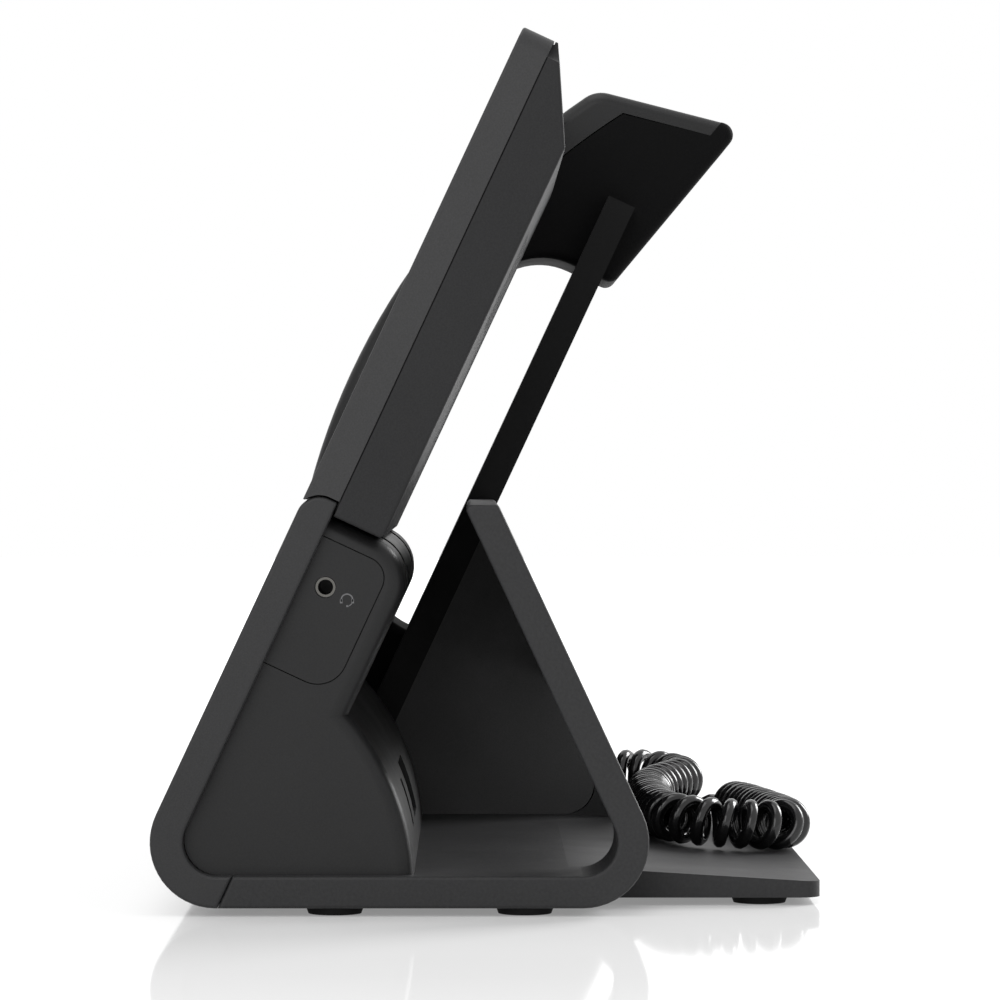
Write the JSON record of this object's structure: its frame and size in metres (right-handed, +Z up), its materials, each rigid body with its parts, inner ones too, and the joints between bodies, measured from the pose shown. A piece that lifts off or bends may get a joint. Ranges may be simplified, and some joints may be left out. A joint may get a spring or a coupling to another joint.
{
  "type": "desk ip phone",
  "caption": "Dark desk phone with an A-shaped stand, a tilting touch display above a keypad, a leaning cradle with a curved handset and a curly cord behind it.",
  "frame": {"origin": "centre of the bounding box without the cord, at the underside of the rubber feet", "axes": "+Z up, -Y towards the user, +X to the user's right"},
  "size_m": [0.253, 0.1649, 0.2106],
  "materials": {
    "stand_plastic": "fine grained matt plastic",
    "fascia_plastic": "fine grained matt plastic",
    "pedestal_plastic": "satin moulded plastic",
    "bezel_plastic": "fine matt plastic",
    "cover_plastic": "satin moulded plastic",
    "cradle_plastic": "matt plastic",
    "handset_plastic": "satin moulded plastic",
    "handset_face_plastic": "matt plastic",
    "key_plastic": "matt key caps with pale print",
    "foot_rubber": "soft black rubber",
    "mat_rubber": "grey silicone",
    "screen_glass": "black cover glass",
    "screen_module": "dark screen module",
    "circuit_board": "green solder mask",
    "jack_metal": "bright plated metal",
    "hinge_metal": "dark plated steel",
    "screw_steel": "zinc plated steel",
    "socket_plastic": "moulded socket plastic",
    "sensor_plastic": "chip package",
    "speaker_frame": "moulded frame",
    "weight_steel": "bare steel",
    "plug_plastic": "clear plug plastic",
    "cord_plastic": "glossy black cord"
  },
  "bodies": {
    "stand": {"stand_frame": "stand_plastic", "rubber_feet": "foot_rubber", "base_screws": "screw_steel", "front_fascia": "fascia_plastic", "key_mat": "mat_rubber", "key_board": "circuit_board", "pedestal": "pedestal_plastic", "jack_panel": "pedestal_plastic", "headset_jack": "jack_metal", "main_board": "circuit_board", "network_ports": "socket_plastic", "power_jack": "socket_plastic", "loudspeaker": "speaker_frame", "hinge_pin_left": "hinge_metal", "hinge_pin_right": "hinge_metal", "cradle_plate": "cradle_plastic", "cradle_wall_inner": "cradle_plastic", "cradle_wall_outer": "cradle_plastic", "cord_socket": "socket_plastic", "hook_sensor": "sensor_plastic", "base_plug": "plug_plastic", "base_lead": "cord_plastic", "cord_coil": "cord_plastic", "handset_lead": "cord_plastic"},
    "display": {"display_bezel": "bezel_plastic", "display_glass": "screen_glass", "lcd_panel": "screen_module", "display_board": "circuit_board", "display_rear_cover": "cover_plastic", "hinge_arm_left": "hinge_metal", "hinge_arm_right": "hinge_metal"},
    "handset": {"handset_back_shell": "handset_plastic", "handset_face_shell": "handset_face_plastic", "receiver_capsule": "speaker_frame", "microphone_capsule": "speaker_frame", "balance_weight": "weight_steel", "hook_magnet": "weight_steel", "handset_socket": "socket_plastic", "handset_plug": "plug_plastic"},
    "key_1": {"key_1": "key_plastic"},
    "key_2": {"key_2": "key_plastic"},
    "key_3": {"key_3": "key_plastic"},
    "key_4": {"key_4": "key_plastic"},
    "key_5": {"key_5": "key_plastic"},
    "key_6": {"key_6": "key_plastic"},
    "key_7": {"key_7": "key_plastic"},
    "key_8": {"key_8": "key_plastic"},
    "key_9": {"key_9": "key_plastic"},
    "key_star": {"key_star": "key_plastic"},
    "key_0": {"key_0": "key_plastic"},
    "key_hash": {"key_hash": "key_plastic"},
    "key_message": {"key_message": "key_plastic"},
    "key_hold": {"key_hold": "key_plastic"},
    "key_transfer": {"key_transfer": "key_plastic"},
    "key_conference": {"key_conference": "key_plastic"},
    "key_headset": {"key_headset": "key_plastic"},
    "key_speaker": {"key_speaker": "key_plastic"},
    "key_mute": {"key_mute": "key_plastic"},
    "volume_rocker": {"volume_rocker": "key_plastic"}
  },
  "joints": [
    {"name": "display_tilt", "type": "hinge", "parent": "stand", "child": "display", "pos_m": [0.0325, -0.03102, 0.07854], "axis": [-1, 0, 0], "range_deg": [0, 20]},
    {"name": "handset_lift", "type": "slide", "parent": "stand", "child": "handset", "axis": [0, -0.9063, 0.4226], "range_m": [0, 0.06]},
    {"name": "key_1_press", "type": "slide", "parent": "stand", "child": "key_1", "axis": [0, 0.9063, -0.4226], "range_m": [0, 0.0012], "stiffness_N_per_m": 500, "springref_m": -0.0005},
    {"name": "key_2_press", "type": "slide", "parent": "stand", "child": "key_2", "axis": [0, 0.9063, -0.4226], "range_m": [0, 0.0012], "stiffness_N_per_m": 500, "springref_m": -0.0005},
    {"name": "key_3_press", "type": "slide", "parent": "stand", "child": "key_3", "axis": [0, 0.9063, -0.4226], "range_m": [0, 0.0012], "stiffness_N_per_m": 500, "springref_m": -0.0005},
    {"name": "key_4_press", "type": "slide", "parent": "stand", "child": "key_4", "axis": [0, 0.9063, -0.4226], "range_m": [0, 0.0012], "stiffness_N_per_m": 500, "springref_m": -0.0005},
    {"name": "key_5_press", "type": "slide", "parent": "stand", "child": "key_5", "axis": [0, 0.9063, -0.4226], "range_m": [0, 0.0012], "stiffness_N_per_m": 500, "springref_m": -0.0005},
    {"name": "key_6_press", "type": "slide", "parent": "stand", "child": "key_6", "axis": [0, 0.9063, -0.4226], "range_m": [0, 0.0012], "stiffness_N_per_m": 500, "springref_m": -0.0005},
    {"name": "key_7_press", "type": "slide", "parent": "stand", "child": "key_7", "axis": [0, 0.9063, -0.4226], "range_m": [0, 0.0012], "stiffness_N_per_m": 500, "springref_m": -0.0005},
    {"name": "key_8_press", "type": "slide", "parent": "stand", "child": "key_8", "axis": [0, 0.9063, -0.4226], "range_m": [0, 0.0012], "stiffness_N_per_m": 500, "springref_m": -0.0005},
    {"name": "key_9_press", "type": "slide", "parent": "stand", "child": "key_9", "axis": [0, 0.9063, -0.4226], "range_m": [0, 0.0012], "stiffness_N_per_m": 500, "springref_m": -0.0005},
    {"name": "key_star_press", "type": "slide", "parent": "stand", "child": "key_star", "axis": [0, 0.9063, -0.4226], "range_m": [0, 0.0012], "stiffness_N_per_m": 500, "springref_m": -0.0005},
    {"name": "key_0_press", "type": "slide", "parent": "stand", "child": "key_0", "axis": [0, 0.9063, -0.4226], "range_m": [0, 0.0012], "stiffness_N_per_m": 500, "springref_m": -0.0005},
    {"name": "key_hash_press", "type": "slide", "parent": "stand", "child": "key_hash", "axis": [0, 0.9063, -0.4226], "range_m": [0, 0.0012], "stiffness_N_per_m": 500, "springref_m": -0.0005},
    {"name": "key_message_press", "type": "slide", "parent": "stand", "child": "key_message", "axis": [0, 0.9063, -0.4226], "range_m": [0, 0.0012], "stiffness_N_per_m": 500, "springref_m": -0.0005},
    {"name": "key_hold_press", "type": "slide", "parent": "stand", "child": "key_hold", "axis": [0, 0.9063, -0.4226], "range_m": [0, 0.0012], "stiffness_N_per_m": 500, "springref_m": -0.0005},
    {"name": "key_transfer_press", "type": "slide", "parent": "stand", "child": "key_transfer", "axis": [0, 0.9063, -0.4226], "range_m": [0, 0.0012], "stiffness_N_per_m": 500, "springref_m": -0.0005},
    {"name": "key_conference_press", "type": "slide", "parent": "stand", "child": "key_conference", "axis": [0, 0.9063, -0.4226], "range_m": [0, 0.0012], "stiffness_N_per_m": 500, "springref_m": -0.0005},
    {"name": "key_headset_press", "type": "slide", "parent": "stand", "child": "key_headset", "axis": [0, 0.9063, -0.4226], "range_m": [0, 0.0012], "stiffness_N_per_m": 500, "springref_m": -0.0005},
    {"name": "key_speaker_press", "type": "slide", "parent": "stand", "child": "key_speaker", "axis": [0, 0.9063, -0.4226], "range_m": [0, 0.0012], "stiffness_N_per_m": 500, "springref_m": -0.0005},
    {"name": "key_mute_press", "type": "slide", "parent": "stand", "child": "key_mute", "axis": [0, 0.9063, -0.4226], "range_m": [0, 0.0012], "stiffness_N_per_m": 500, "springref_m": -0.0005},
    {"name": "volume_rock", "type": "hinge", "parent": "stand", "child": "volume_rocker", "pos_m": [0.0875, -0.06783, 0.04385], "axis": [0, 0.4226, 0.9063], "range_deg": [-3, 3], "stiffness_Nm_per_rad": 0.3}
  ]
}
